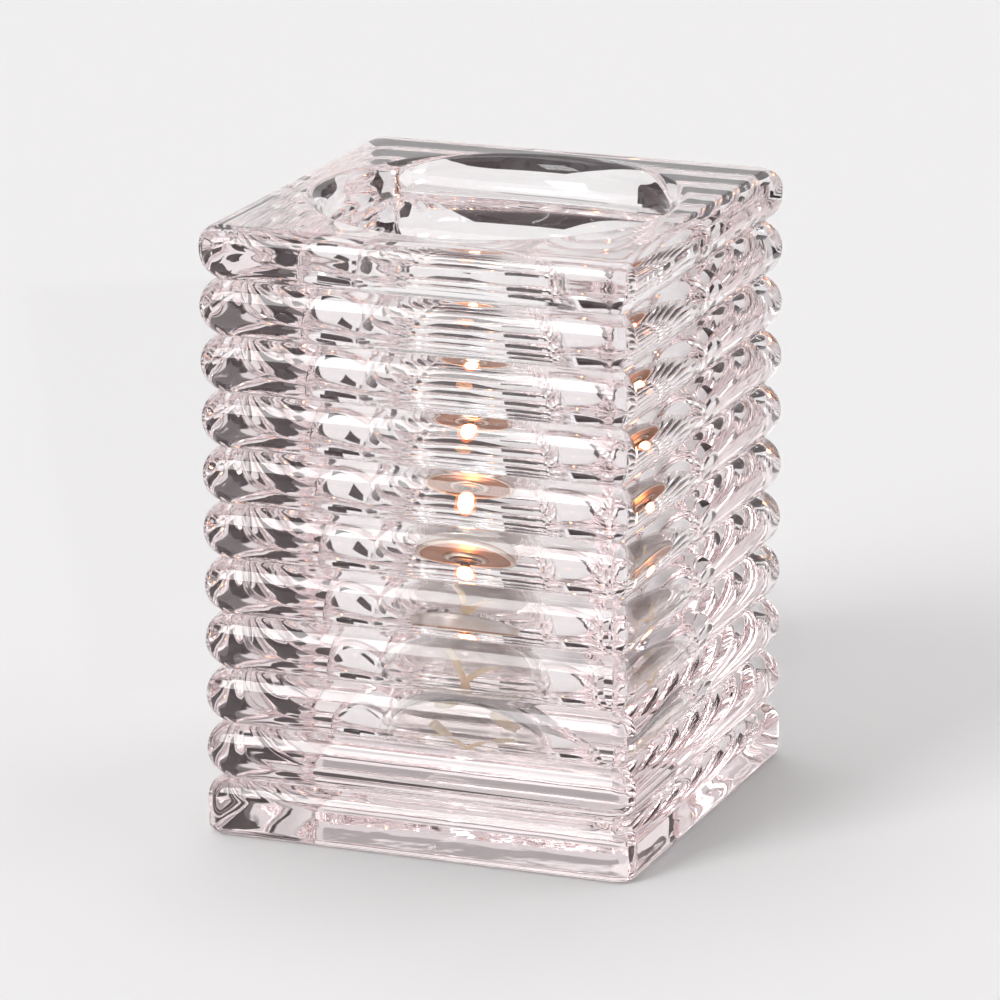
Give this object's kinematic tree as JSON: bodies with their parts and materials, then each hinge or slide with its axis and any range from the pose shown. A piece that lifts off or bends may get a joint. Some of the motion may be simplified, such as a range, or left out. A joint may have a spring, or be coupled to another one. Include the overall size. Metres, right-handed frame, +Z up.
{
  "type": "tealight holder",
  "caption": "Square ribbed pressed-glass tealight holder with a round open cavity and a removable liquid-fuel tealight cell.",
  "frame": {"origin": "centre of the square base, on the surface the holder stands on", "axes": "+Z up out of the cavity's mouth; +X and +Y square to the block's faces, -Y is the front"},
  "size_m": [0.07, 0.07, 0.0954],
  "materials": {
    "pressed_glass": "clear, fire-polished, faintly pink-grey, slightly wavy",
    "clear_plastic": "clear, glossy, injection moulded",
    "tinplate": "satin, faint turning marks",
    "sleeve_steel": "satin, heat-tinted near the flame",
    "wick_cotton": "twisted cord, charred at the tip",
    "paraffin": "clear liquid, flat still surface"
  },
  "bodies": {
    "holder": {"glass_block": "pressed_glass"},
    "fuel_cell": {"fuel_bottle": "clear_plastic", "neck_cap": "tinplate", "wick_sleeve": "sleeve_steel", "wick_strand_front": "wick_cotton", "wick_strand_back": "wick_cotton", "liquid_fuel": "paraffin"}
  },
  "joints": [
    {"name": "cell_lift", "type": "slide", "parent": "holder", "child": "fuel_cell", "axis": [0, 0, 1], "range_m": [0, 0.09]}
  ]
}
